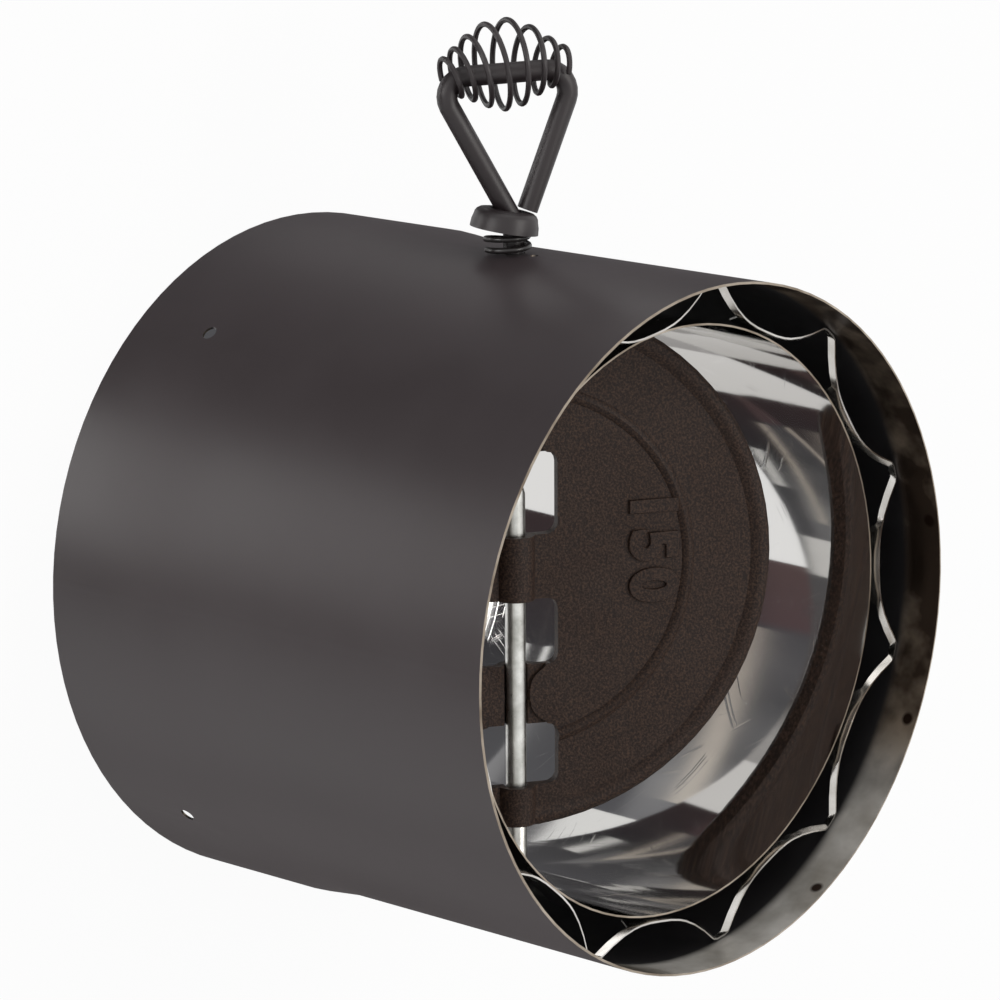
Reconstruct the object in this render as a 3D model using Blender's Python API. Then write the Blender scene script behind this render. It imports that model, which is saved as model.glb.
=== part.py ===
"""Double-wall stove pipe damper section.

A painted steel shell holds a polished liner on two rings of V-shaped standoffs.
A cast plate turns on a rod across the liner. Outside the shell the same rod is bent
into a handle loop with a coil grip, and a spring under a cup keeps it tight.

World frame: +Z runs along the flue, upwards. +X points from the pipe's axis to the
handle. The origin is on the pipe's axis, in the plane of the shell's lower edge.
Units are metres.
"""
import math

import bmesh
import bpy
from mathutils import Matrix, Vector
from mathutils.geometry import intersect_point_line

MM = 0.001

# Liner
LINER_RADIUS = 76.2 * MM
LINER_WALL = 0.5 * MM
LINER_TOP_RECESS = 14.0 * MM
LINER_BOTTOM = 2.0 * MM
SWAGE_STEP = 1.1 * MM
SWAGE_LENGTH = 26.0 * MM
SWAGE_TAPER = 6.0 * MM

# Shell, which stands off the liner by the air gap
AIR_GAP = 11.6 * MM
SHELL_WALL = 0.6 * MM
SHELL_RADIUS = LINER_RADIUS + LINER_WALL + AIR_GAP + SHELL_WALL
SHELL_LENGTH = 152.4 * MM
SOCKET_SWELL = 1.4 * MM
SOCKET_RADIUS = SHELL_RADIUS + SOCKET_SWELL
SOCKET_LENGTH = 39.0 * MM
SOCKET_TAPER = 14.0 * MM
SCREW_HOLE_RADIUS = 2.0 * MM
SCREW_HOLE_HEIGHT = 27.0 * MM
SCREW_HOLE_FIRST = math.radians(40.0)
SCREW_HOLE_COUNT = 4
INDEX_HOLE_RADIUS = 1.1 * MM
INDEX_HOLE_OFFSET = 7.4 * MM
EDGE_ROUND = 0.2 * MM
CUTTER_REACH = 3.0 * MM

# Standoff rings
STANDOFF_COUNT = 11
STANDOFF_FIRST = math.radians(25.6)
STRIP_THICKNESS = 0.5 * MM
STRIP_WIDTH = 2.0 * MM
STRIP_TILT = math.radians(45.0)
TAB_WIDTH = 7.0 * MM
TAB_BLEND = math.radians(1.5)
FOOT_HALF_ANGLE = math.radians(9.3)
TOP_HALF_ANGLE = math.radians(1.9)
TOP_ROUND = 0.4 * MM
LEG_CURVE = 2.6
LEG_SHARES = (0.16, 0.33, 0.5, 0.62, 0.8, 1.0)
FRONT_RING_RECESS = 12.0 * MM
REAR_RING_HEIGHT = 58.0 * MM

# Rod and its place
ROD_RADIUS = 2.75 * MM
ROD_HEIGHT = 80.5 * MM
ROD_TIP_PROUD = 3.0 * MM
ROD_TIP_LENGTH = 2.5 * MM
ROD_TIP_RADIUS = 0.9 * MM
HOLE_CLEARANCE = 0.4 * MM
SEAT_GAP = 0.3 * MM
REST_ANGLE = math.radians(29.5)
STOP_EAR_LENGTH = 12.4 * MM
STOP_EAR_ACROSS = 2.0 * MM
STOP_EAR_DEEP = 3.7 * MM
STOP_EAR_TAPER = 2.0 * MM
STOP_EAR_SHOULDER = 0.5 * MM

# Plate, measured from its own centre along the rod
PLATE_RADIUS = 70.5 * MM
PLATE_HALF_THICKNESS = 1.5 * MM
PLATE_LINER_GAP = 0.4 * MM
RIM_WIDTH = 5.3 * MM
RIM_HEIGHT = 1.4 * MM
RING_RADIUS = PLATE_RADIUS * 0.675
RING_HALF_WIDTH = 1.7 * MM
RING_HEIGHT = 0.95 * MM
WEB_HALF_LENGTH = PLATE_RADIUS * 0.123
BACK_WEB_START = PLATE_RADIUS * 0.377
EAR_WEB_START = PLATE_RADIUS * 0.434
NOTCH_DEPTH = 2.0 * MM
BACK_WEB_END = PLATE_RADIUS * 0.607
LUG_START = PLATE_RADIUS * 0.841
LUG_END_GAP = 0.5 * MM
OPENING_HALF_WIDTH = 11.3 * MM
OPENING_CORNER = 3.0 * MM
BARREL_WALL = 2.05 * MM
BARREL_FOOT = 1.6 * MM
BARREL_BORE_GAP = 0.4 * MM
TROUGH_MOUTH = 3.7 * MM
FUNNEL_MOUTH = 9.0 * MM
FUNNEL_LENGTH = 6.5 * MM
FUNNEL_FLOOR = 0.3 * MM

# Handle loop, in the plane of the plate: rise over the shell's crown, and width across
BEND_RISE = 8.1 * MM
LEFT_LEG_ANGLE = math.radians(29.1)
RIGHT_LEG_ANGLE = math.radians(20.6)
LEFT_CORNER_RISE = 46.1 * MM
RIGHT_CORNER_RISE = 47.4 * MM
HANDLE_WIDTH = 38.6 * MM
RIGHT_LEG_END_RISE = 11.0 * MM
BASE_BEND = 8.0 * MM
LEFT_BEND = 5.2 * MM
RIGHT_BEND = 5.8 * MM
HANDLE_TWIST = math.radians(0.0)
BEND_START = SHELL_RADIUS + BEND_RISE
LEFT_CORNER_REACH = SHELL_RADIUS + LEFT_CORNER_RISE
RIGHT_CORNER_REACH = SHELL_RADIUS + RIGHT_CORNER_RISE
RIGHT_LEG_END = SHELL_RADIUS + RIGHT_LEG_END_RISE

# Coil grip around the cross bar
GRIP_WIRE_RADIUS = 0.75 * MM
GRIP_SLACK = 0.75 * MM
GRIP_ROD_GAP = 0.3 * MM
GRIP_SWELL = 7.4 * MM
GRIP_SWELL_ACROSS = 2.5 * MM
GRIP_FADE = 18.9 * MM
GRIP_INSET = 2.8 * MM
GRIP_LEAD_TURNS = 0.3
GRIP_TURNS = 7.66
GRIP_END_PITCH = 3.2 * MM
GRIP_MID_PITCH = 5.4 * MM
GRIP_ARCH_RADIUS = 66.0 * MM
GRIP_ARCH_ACROSS = -2.0 * MM
GRIP_ARCH_LIFT = 2.3 * MM

# Spring cup
CUP_RADIUS = 9.0 * MM
CUP_TOP_RADIUS = 8.5 * MM
CUP_HEIGHT = 5.4 * MM
CUP_WALL = 1.2 * MM
CUP_ROUND = 2.3 * MM
CUP_TILT = math.radians(10.0)
CUP_RISE = 6.0 * MM
CUP_REACH = SHELL_RADIUS + CUP_RISE
CUP_SHIFT = 2.6 * MM
CUP_HOLE_CLEARANCE = 1.8 * MM

# Tension spring
SPRING_RADIUS = 6.35 * MM
SPRING_WIRE_RADIUS = 0.8 * MM
SPRING_SHIFT = 1.6 * MM
SPRING_OPEN_TURNS = 2.0
SPRING_OPEN_SHARE = 0.73
SPRING_SPREAD = 1.2
SPRING_END_TURNS = 0.9
SPRING_PHASE = math.radians(0.0)

# Facets
ROUND_COUNT = 96
PLATE_COUNT = 72
CUP_COUNT = 32
BEND_COUNT = 8
GRIP_TURN_COUNT = 18
SPRING_TURN_COUNT = 20


def clear_scene():
    for old in list(bpy.data.objects):
        bpy.data.objects.remove(old, do_unlink=True)


def make_material(name, colour, roughness, metallic):
    material = bpy.data.materials.new(name)
    material.use_nodes = True
    shader = material.node_tree.nodes["Principled BSDF"]
    shader.inputs["Base Color"].default_value = (*colour, 1.0)
    shader.inputs["Roughness"].default_value = roughness
    shader.inputs["Metallic"].default_value = metallic
    material.diffuse_color = (*colour, 1.0)
    return material


def object_from_bmesh(name, mesh_data, material=None, parent=None):
    bmesh.ops.remove_doubles(mesh_data, verts=mesh_data.verts, dist=1e-7)
    bmesh.ops.recalc_face_normals(mesh_data, faces=mesh_data.faces)
    mesh = bpy.data.meshes.new(name)
    mesh_data.to_mesh(mesh)
    mesh_data.free()
    obj = bpy.data.objects.new(name, mesh)
    bpy.context.scene.collection.objects.link(obj)
    if material is not None:
        mesh.materials.append(material)
    if parent is not None:
        obj.parent = parent
    mesh.shade_smooth()
    mesh.set_sharp_from_angle(angle=math.radians(35.0))
    return obj


def turned(name, profile, steps, material=None, parent=None):
    """Spins a closed profile of (radius, height) pairs about Z."""
    mesh_data = bmesh.new()
    ring = [mesh_data.verts.new((radius, 0.0, height)) for radius, height in profile]
    edges = [mesh_data.edges.new((a, b)) for a, b in zip(ring, ring[1:])]
    if profile[0][0] > 0.0:
        edges.append(mesh_data.edges.new((ring[-1], ring[0])))
    bmesh.ops.spin(
        mesh_data,
        geom=ring + edges,
        cent=(0.0, 0.0, 0.0),
        axis=(0.0, 0.0, 1.0),
        angle=2.0 * math.pi,
        steps=steps,
        use_merge=True,
    )
    return object_from_bmesh(name, mesh_data, material, parent)


def prism(name, outline, low, high, axes, parent=None):
    """Extrudes a flat outline. axes gives the outline's two directions and the depth's."""
    first, second, depth = (Vector(axis) for axis in axes)
    mesh_data = bmesh.new()
    corners = [mesh_data.verts.new(first * a + second * b + depth * low) for a, b in outline]
    face = mesh_data.faces.new(corners)
    grown = bmesh.ops.extrude_face_region(mesh_data, geom=[face])
    moved = [item for item in grown["geom"] if isinstance(item, bmesh.types.BMVert)]
    bmesh.ops.translate(mesh_data, verts=moved, vec=depth * (high - low))
    return object_from_bmesh(name, mesh_data, parent=parent)


def rod_cutter(name, radius, low, high, matrix, parent=None):
    mesh_data = bmesh.new()
    bmesh.ops.create_cone(
        mesh_data,
        cap_ends=True,
        segments=24,
        radius1=radius,
        radius2=radius,
        depth=high - low,
        matrix=matrix @ Matrix.Translation((0.0, 0.0, (low + high) / 2.0)),
    )
    return object_from_bmesh(name, mesh_data, parent=parent)


def combine(target, tool, operation):
    """Joins or cuts with a helper object, which stays hidden."""
    modifier = target.modifiers.new(tool.name, "BOOLEAN")
    modifier.operation = operation
    modifier.solver = "EXACT"
    modifier.object = tool
    tool.hide_render = True
    tool.display_type = "WIRE"


def wire(name, points, radius, sides, material=None, parent=None, radii=None):
    """A round wire along a list of points."""
    curve = bpy.data.curves.new(name, "CURVE")
    curve.dimensions = "3D"
    curve.bevel_depth = radius
    curve.bevel_resolution = sides // 2 - 2
    curve.use_fill_caps = True
    spline = curve.splines.new("POLY")
    spline.points.add(len(points) - 1)
    for index, point in enumerate(points):
        spline.points[index].co = (*point, 1.0)
        spline.points[index].radius = radii[index] if radii else 1.0
    spline.use_smooth = True
    obj = bpy.data.objects.new(name, curve)
    bpy.context.scene.collection.objects.link(obj)
    if material is not None:
        curve.materials.append(material)
    if parent is not None:
        obj.parent = parent
    return obj


def as_mesh(obj):
    """Turns a wire into a mesh object of the same name, so that it can be cut."""
    graph = bpy.context.evaluated_depsgraph_get()
    mesh = bpy.data.meshes.new_from_object(obj.evaluated_get(graph))
    name, parent = obj.name, obj.parent
    bpy.data.objects.remove(obj, do_unlink=True)
    solid = bpy.data.objects.new(name, mesh)
    bpy.context.scene.collection.objects.link(solid)
    solid.parent = parent
    mesh.shade_smooth()
    mesh.set_sharp_from_angle(angle=math.radians(35.0))
    return solid


def arc(centre, radius, start, end, steps):
    """Points of an arc in the plane, from one angle to another."""
    turn = (end - start) / steps
    return [
        (centre[0] + radius * math.cos(start + turn * i), centre[1] + radius * math.sin(start + turn * i))
        for i in range(steps + 1)
    ]


def bent_path(corners, radii, steps):
    """A flat path through corners, each rounded to its own bend radius."""
    points = [Vector(corners[0])]
    for before, corner, after, radius in zip(corners, corners[1:], corners[2:], radii):
        corner = Vector(corner)
        incoming = (Vector(before) - corner).normalized()
        outgoing = (Vector(after) - corner).normalized()
        half = incoming.angle(outgoing) / 2.0
        centre = corner + (incoming + outgoing).normalized() * radius / math.sin(half)
        start = corner + incoming * radius / math.tan(half) - centre
        sweep = math.pi - 2.0 * half
        if start.cross(corner - centre) < 0.0:
            sweep = -sweep
        for i in range(steps + 1):
            points.append(centre + Matrix.Rotation(sweep * i / steps, 2) @ start)
    points.append(Vector(corners[-1]))
    return points


def radial_hole(name, radius, angle, height):
    """A cutter through the shell's wall at one angle around the pipe."""
    aim = Matrix.Translation((0.0, 0.0, height)) @ Matrix.Rotation(angle, 4, "Z")
    aim = aim @ Matrix.Rotation(math.pi / 2.0, 4, "Y")
    inside = SHELL_RADIUS - SHELL_WALL - CUTTER_REACH
    return rod_cutter(name, radius, inside, SOCKET_RADIUS + CUTTER_REACH, aim)


def build_shell(material):
    """Rolled tube, with its lower end swelled to slip over the next pipe."""
    top = SHELL_LENGTH
    taper_end = SOCKET_LENGTH + SOCKET_TAPER
    outer = [(SOCKET_RADIUS, 0.0), (SOCKET_RADIUS, SOCKET_LENGTH)]
    outer += [(SHELL_RADIUS, taper_end), (SHELL_RADIUS, top - EDGE_ROUND)]
    outer += [(SHELL_RADIUS - EDGE_ROUND, top)]
    inner = [(SHELL_RADIUS - SHELL_WALL, top), (SHELL_RADIUS - SHELL_WALL, taper_end)]
    inner += [(SOCKET_RADIUS - SHELL_WALL, SOCKET_LENGTH), (SOCKET_RADIUS - SHELL_WALL, 0.0)]
    shell = turned("outer_shell", outer + inner, ROUND_COUNT, material)

    for i in range(SCREW_HOLE_COUNT):
        angle = SCREW_HOLE_FIRST + 2.0 * math.pi * i / SCREW_HOLE_COUNT
        cutter = radial_hole(f"screw_hole_cutter_{i}", SCREW_HOLE_RADIUS, angle, SCREW_HOLE_HEIGHT)
        combine(shell, cutter, "DIFFERENCE")
    index_height = ROD_HEIGHT + INDEX_HOLE_OFFSET
    combine(shell, radial_hole("index_hole_cutter", INDEX_HOLE_RADIUS, 0.0, index_height), "DIFFERENCE")
    combine(shell, cross_bore("shell_bore_cutter"), "DIFFERENCE")
    return shell


def cross_bore(name):
    """A cutter for the rod's two holes, right across the pipe."""
    aim = Matrix.Translation((0.0, 0.0, ROD_HEIGHT)) @ Matrix.Rotation(math.pi / 2.0, 4, "Y")
    reach = SOCKET_RADIUS + CUTTER_REACH
    return rod_cutter(name, ROD_RADIUS + HOLE_CLEARANCE, -reach, reach, aim)


def build_liner(material):
    """Polished tube, with its lower end drawn in to fit inside the next liner."""
    top = SHELL_LENGTH - LINER_TOP_RECESS
    step_end = LINER_BOTTOM + SWAGE_LENGTH
    small = LINER_RADIUS - SWAGE_STEP
    outer = [(small + LINER_WALL, LINER_BOTTOM), (small + LINER_WALL, step_end)]
    outer += [(LINER_RADIUS + LINER_WALL, step_end + SWAGE_TAPER), (LINER_RADIUS + LINER_WALL, top)]
    inner = [(LINER_RADIUS, top), (LINER_RADIUS, step_end + SWAGE_TAPER)]
    inner += [(small, step_end), (small, LINER_BOTTOM)]
    liner = turned("inner_liner", outer + inner, ROUND_COUNT, material)
    combine(liner, cross_bore("liner_bore_cutter"), "DIFFERENCE")
    return liner


def standoff_stations():
    """One standoff: angle from its middle, strip radius, tilt, and whether it lies on the liner."""
    low = LINER_RADIUS + LINER_WALL + SEAT_GAP + STRIP_THICKNESS / 2.0
    high = SHELL_RADIUS - SHELL_WALL - SEAT_GAP - STRIP_THICKNESS
    foot_end = math.pi / STANDOFF_COUNT
    half = [(TOP_HALF_ANGLE * 0.5, high, 0.5, 0.0), (TOP_HALF_ANGLE, high - TOP_ROUND, 1.0, 0.0)]
    for share in LEG_SHARES:
        angle = TOP_HALF_ANGLE + (foot_end - TOP_HALF_ANGLE) * share
        radius = low + (high - TOP_ROUND - low) * (1.0 - share) ** LEG_CURVE
        flat = min(max((angle - FOOT_HALF_ANGLE) / TAB_BLEND, 0.0), 1.0)
        half.append((angle, radius, 1.0 - flat, flat))
    mirrored = [(-angle, radius, tilt, tab) for angle, radius, tilt, tab in reversed(half[:-1])]
    return mirrored + [(0.0, high, 0.0, 0.0)] + half


def build_standoff_ring(name, edge_height, inward, material):
    """A strip bent into V-shaped standoffs. inward is -1 when its tabs point down the pipe."""
    mesh_data = bmesh.new()
    loops = []
    for i in range(STANDOFF_COUNT):
        middle = STANDOFF_FIRST + 2.0 * math.pi * i / STANDOFF_COUNT
        for angle, radius, tilt, tab in standoff_stations():
            width = STRIP_WIDTH + (TAB_WIDTH - STRIP_WIDTH) * tab
            lean = STRIP_TILT * tilt
            side = 1.0 if angle < 0.0 else -1.0
            around = Vector((-math.sin(middle + angle), math.cos(middle + angle), 0.0))
            out = Vector((math.cos(middle + angle), math.sin(middle + angle), 0.0))
            edge = out * radius + Vector((0.0, 0.0, edge_height))
            down = Vector((0.0, 0.0, inward * math.cos(lean))) + around * (side * math.sin(lean))
            deep = edge + down * width
            skin = out * STRIP_THICKNESS
            loops.append([mesh_data.verts.new(p) for p in (edge, edge + skin, deep + skin, deep)])
    for here, after in zip(loops, loops[1:] + loops[:1]):
        for k in range(4):
            mesh_data.faces.new((here[k], here[(k + 1) % 4], after[(k + 1) % 4], after[k]))
    return object_from_bmesh(name, mesh_data, material)


def plate_centre():
    """Place of the plate's centre along the rod: the spring draws it up to the liner."""
    return LINER_RADIUS - PLATE_LINER_GAP - PLATE_RADIUS


def plate_profile():
    half = PLATE_HALF_THICKNESS
    rim_start = PLATE_RADIUS - RIM_WIDTH
    profile = [(0.0, half)]
    for share in (-1.0, -0.6, 0.0, 0.6, 1.0):
        profile.append((RING_RADIUS + RING_HALF_WIDTH * share, half + RING_HEIGHT * (1.0 - share * share)))
    rim = [(0.0, 0.0), (0.32, 0.75), (0.58, 1.0), (0.82, 0.75), (1.0, 0.0)]
    for along, rise in rim:
        profile.append((rim_start + RIM_WIDTH * along, half + RIM_HEIGHT * rise))
    for along, rise in reversed(rim):
        profile.append((rim_start + RIM_WIDTH * along, -half - RIM_HEIGHT * rise))
    profile.append((0.0, -half))
    return profile


def barrel_outline(side):
    """Half-round bridge over the rod. side is 1 in front of the plate and -1 behind it."""
    outer = ROD_RADIUS + BARREL_BORE_GAP + BARREL_WALL
    root = -side * PLATE_HALF_THICKNESS * 0.8
    curved = arc((0.0, 0.0), outer, 0.0, side * math.pi, 16)
    foot = outer + BARREL_FOOT
    bottom = [(-foot, side * PLATE_HALF_THICKNESS * 0.5), (-foot, root), (foot, root)]
    return curved[1:-1] + bottom + [(foot, side * PLATE_HALF_THICKNESS * 0.5)]


def trough_outline(side):
    """The rod's channel through a bridge, open on the side away from it."""
    bore = ROD_RADIUS + BARREL_BORE_GAP
    mouth = TROUGH_MOUTH if side < 0 else bore
    curved = arc((0.0, 0.0), bore, 0.0, side * math.pi, 16)
    far = -side * (bore + BARREL_WALL + CUTTER_REACH)
    lip = -side * (PLATE_HALF_THICKNESS + 0.6 * MM)
    return curved + [(-mouth, lip), (-mouth, far), (mouth, far), (mouth, lip)]


def funnel_outline(start, way):
    """The flared mouth of a back bridge's channel, from the opening's edge inwards."""
    steps = 6
    side = []
    for i in range(steps + 1):
        share = i / steps
        width = TROUGH_MOUTH + (FUNNEL_MOUTH - TROUGH_MOUTH) * (1.0 - share) ** 2.4
        side.append((start + way * FUNNEL_LENGTH * share, width))
    side[0] = (start - way * 0.6 * MM, side[0][1])
    return side + [(x, -y) for x, y in reversed(side)]


def rounded_box_outline(low, high, half_width, corner):
    points = []
    for x, y, start in (
        (high - corner, half_width - corner, 0.0),
        (low + corner, half_width - corner, 0.5),
        (low + corner, corner - half_width, 1.0),
        (high - corner, corner - half_width, 1.5),
    ):
        points += arc((x, y), corner, start * math.pi, (start + 0.5) * math.pi, 4)
    return points


def build_plate(material, carrier):
    """Cast disc with a raised rim, a ring bead and bridges that cross the rod by turns."""
    plate = turned("damper_plate", plate_profile(), PLATE_COUNT, material, carrier)
    plate.location.x = plate_centre()
    along_rod = ((0.0, 1.0, 0.0), (0.0, 0.0, 1.0), (1.0, 0.0, 0.0))
    through = ((1.0, 0.0, 0.0), (0.0, 1.0, 0.0), (0.0, 0.0, 1.0))
    lug_half = ROD_RADIUS + BARREL_BORE_GAP + BARREL_WALL + BARREL_FOOT
    lug_end = math.sqrt((PLATE_RADIUS + plate_centre()) ** 2 - lug_half**2) - plate_centre()
    lug_end -= LUG_END_GAP
    margin = 0.6 * MM
    bridges = [(-WEB_HALF_LENGTH, WEB_HALF_LENGTH, 1)]
    bridges += [(-BACK_WEB_END, -BACK_WEB_START, -1), (EAR_WEB_START, BACK_WEB_END, -1)]
    bridges += [(-lug_end, -LUG_START, 1), (LUG_START, lug_end, 1)]
    for low, high, side in bridges:
        label = f"{side}_{round(low / MM)}"
        bridge = prism(f"bridge_{label}", barrel_outline(side), low, high, along_rod, plate)
        combine(plate, bridge, "UNION")
    for low, high, side in bridges:
        label = f"{side}_{round(low / MM)}"
        start = low - margin if abs(low) < LUG_START + margin else low - 4.0 * MM
        end = high + margin if abs(high) < LUG_START + margin else high + 4.0 * MM
        trough = prism(f"trough_{label}", trough_outline(side), start, end, along_rod, plate)
        combine(plate, trough, "DIFFERENCE")
    notch = [(-STOP_EAR_ACROSS - SEAT_GAP, -STOP_EAR_DEEP - SEAT_GAP)]
    notch += [(STOP_EAR_ACROSS + SEAT_GAP, -STOP_EAR_DEEP - SEAT_GAP)]
    notch += [(STOP_EAR_ACROSS + SEAT_GAP, 0.0), (-STOP_EAR_ACROSS - SEAT_GAP, 0.0)]
    notch_end = EAR_WEB_START + NOTCH_DEPTH
    cutter = prism("notch_cutter", notch, EAR_WEB_START - margin, notch_end, along_rod, plate)
    combine(plate, cutter, "DIFFERENCE")
    openings = [(-LUG_START, -BACK_WEB_END), (-BACK_WEB_START, -WEB_HALF_LENGTH)]
    openings += [(WEB_HALF_LENGTH, EAR_WEB_START), (BACK_WEB_END, LUG_START)]
    depth = ROD_RADIUS + BARREL_BORE_GAP + BARREL_WALL + CUTTER_REACH
    for low, high in openings:
        outline = rounded_box_outline(low, high, OPENING_HALF_WIDTH, OPENING_CORNER)
        cutter = prism(f"opening_{round(low / MM)}", outline, -depth, depth, through, plate)
        combine(plate, cutter, "DIFFERENCE")
    mouths = [(-BACK_WEB_START, -1.0), (-BACK_WEB_END, 1.0)]
    mouths += [(EAR_WEB_START, 1.0), (BACK_WEB_END, -1.0)]
    for start, way in mouths:
        outline = funnel_outline(start, way)
        cutter = prism(f"funnel_{round(start / MM)}", outline, FUNNEL_FLOOR, depth, through, plate)
        combine(plate, cutter, "DIFFERENCE")
    return plate


def handle_corners():
    """The rod's straight lines, from its tip through the pipe and around the loop."""
    tip = -(SHELL_RADIUS + ROD_TIP_PROUD)
    left = (LEFT_CORNER_REACH - BEND_START) * math.tan(LEFT_LEG_ANGLE)
    right = left - HANDLE_WIDTH
    end = right + (RIGHT_CORNER_REACH - RIGHT_LEG_END) * math.tan(RIGHT_LEG_ANGLE)
    corners = [(tip, 0.0), (BEND_START, 0.0), (LEFT_CORNER_REACH, left)]
    corners += [(RIGHT_CORNER_REACH, right), (RIGHT_LEG_END, end)]
    return corners


def twist(point):
    """Turns the handle's parts about the rod, against the plate."""
    return Matrix.Rotation(HANDLE_TWIST, 3, "X") @ Vector(point)


def stop_ears():
    """Lower and upper end of the rod's flattened part, which seats in the plate's notch."""
    seat = plate_centre() + EAR_WEB_START + NOTCH_DEPTH - SEAT_GAP
    return seat - STOP_EAR_LENGTH, seat


def rod_points():
    flat = bent_path(handle_corners(), (BASE_BEND, LEFT_BEND, RIGHT_BEND), BEND_COUNT)
    tip = flat[0]
    low, high = stop_ears()
    straight = [tip.x + ROD_TIP_LENGTH, low, low + STOP_EAR_TAPER, high - STOP_EAR_SHOULDER, high]
    flat[1:1] = [Vector((x, 0.0)) for x in straight]
    return [twist((x, y, 0.0)) for x, y in flat]


def build_rod(material, carrier):
    """One rod: pointed tip, straight shaft, flattened stop ears and the handle loop."""
    points = rod_points()
    radii = [ROD_TIP_RADIUS / ROD_RADIUS] + [1.0] * (len(points) - 1)
    rod = as_mesh(wire("damper_rod", points, ROD_RADIUS, 14, material, carrier, radii))
    low, high = stop_ears()
    for vert in rod.data.vertices:
        if low + STOP_EAR_TAPER / 2.0 < vert.co.x < high - STOP_EAR_SHOULDER / 2.0:
            vert.co.y *= STOP_EAR_ACROSS / ROD_RADIUS
            vert.co.z *= STOP_EAR_DEEP / ROD_RADIUS
    return rod


def clear_of_rod(point, rod, distance):
    """Lays a point of the wire on the rod's surface where it would run into the rod."""
    nearest = None
    for start, end in zip(rod, rod[1:]):
        foot, share = intersect_point_line(point, start, end)
        if share < 0.0:
            foot = start
        elif share > 1.0:
            foot = end
        if nearest is None or (point - foot).length < (point - nearest).length:
            nearest = foot
    away = point - nearest
    if away.length >= distance:
        return point
    return nearest + away.normalized() * distance


def grip_points():
    """Barrel-shaped helix around the cross bar, on an arched axis."""
    rod = rod_points()
    corners = handle_corners()
    left, right = Vector(corners[2]), Vector(corners[3])
    lean = (right.x - left.x) / (right.y - left.y)
    crown = left.x + (GRIP_ARCH_ACROSS - left.y) * lean + GRIP_ARCH_LIFT
    centre = Vector((crown - GRIP_ARCH_RADIUS, GRIP_ARCH_ACROSS, 0.0))
    across = left.y - GRIP_INSET
    tight = ROD_RADIUS + GRIP_SLACK + GRIP_WIRE_RADIUS
    front = Vector((0.0, 0.0, 1.0))
    points = []
    for i in range(int(GRIP_TURNS * GRIP_TURN_COUNT) + 1):
        turn = i / GRIP_TURN_COUNT - GRIP_LEAD_TURNS
        angle = (across - GRIP_ARCH_ACROSS) / GRIP_ARCH_RADIUS
        up = Vector((math.cos(angle), math.sin(angle), 0.0))
        share = min(abs(across - GRIP_SWELL_ACROSS) / GRIP_FADE, 1.0)
        radius = tight + GRIP_SWELL * math.cos(math.pi / 2.0 * share) ** 2
        phase = 2.0 * math.pi * turn
        point = centre + up * (GRIP_ARCH_RADIUS + radius * math.cos(phase))
        point = twist(point + front * radius * math.sin(phase))
        points.append(clear_of_rod(point, rod, ROD_RADIUS + GRIP_ROD_GAP + GRIP_WIRE_RADIUS))
        widen = math.sin(math.pi * (turn - 0.35) / (GRIP_TURNS - GRIP_LEAD_TURNS)) ** 2
        across -= (GRIP_END_PITCH + (GRIP_MID_PITCH - GRIP_END_PITCH) * widen) / GRIP_TURN_COUNT
    return points


def cup_matrix():
    """Place of the cup: its rim's centre, leaning away from the left leg."""
    lean = Matrix.Rotation(math.pi / 2.0, 4, "Y")
    tilt = Matrix.Rotation(-CUP_TILT, 4, "Z")
    turn = Matrix.Rotation(HANDLE_TWIST, 4, "X")
    return turn @ Matrix.Translation((CUP_REACH, CUP_SHIFT, 0.0)) @ tilt @ lean


def build_cup(material, carrier):
    """Pressed cup over the spring, with a hole for the bent rod."""
    height = CUP_HEIGHT
    outer = [(CUP_RADIUS, 0.0), (CUP_TOP_RADIUS + 0.35 * MM, height * 0.35)]
    outer += arc((CUP_TOP_RADIUS - CUP_ROUND, height - CUP_ROUND), CUP_ROUND, 0.0, math.pi / 2.0, 4)
    inside = CUP_TOP_RADIUS - CUP_WALL
    hole = ROD_RADIUS + CUP_HOLE_CLEARANCE
    inner = [(hole, height), (hole, height - CUP_WALL), (inside - 0.7 * MM, height - CUP_WALL)]
    inner += [(inside, height - CUP_WALL - 0.7 * MM), (CUP_RADIUS - CUP_WALL, 0.0)]
    cup = turned("spring_cup", outer + inner, CUP_COUNT, material, carrier)
    cup.data.transform(cup_matrix())
    return cup


def spring_points():
    """Helix from the shell's crown to the cup's ceiling, its last turn drawn flat."""
    low = SHELL_RADIUS + SEAT_GAP + SPRING_WIRE_RADIUS
    ceiling = CUP_HEIGHT - CUP_WALL - SEAT_GAP - SPRING_WIRE_RADIUS
    top = Vector((CUP_REACH + ceiling * math.cos(CUP_TILT), CUP_SHIFT - ceiling * math.sin(CUP_TILT)))
    start = Vector((low, SPRING_SHIFT))
    mean = SPRING_RADIUS - SPRING_WIRE_RADIUS
    turns = SPRING_OPEN_TURNS + SPRING_END_TURNS
    points = []
    for i in range(int(turns * SPRING_TURN_COUNT) + 1):
        turn = i / SPRING_TURN_COUNT
        if turn < SPRING_OPEN_TURNS:
            share = SPRING_OPEN_SHARE * (turn / SPRING_OPEN_TURNS) ** SPRING_SPREAD
        else:
            share = SPRING_OPEN_SHARE
            share += (1.0 - SPRING_OPEN_SHARE) * (turn - SPRING_OPEN_TURNS) / SPRING_END_TURNS
        tilt = CUP_TILT * share
        centre = start.lerp(top, share)
        side = Vector((math.sin(tilt), math.cos(tilt), 0.0))
        front = Vector((0.0, 0.0, 1.0))
        phase = SPRING_PHASE + 2.0 * math.pi * turn
        offset = (side * math.cos(phase) + front * math.sin(phase)) * mean
        points.append(twist(Vector((centre.x, centre.y, 0.0)) + offset))
    return points


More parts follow.
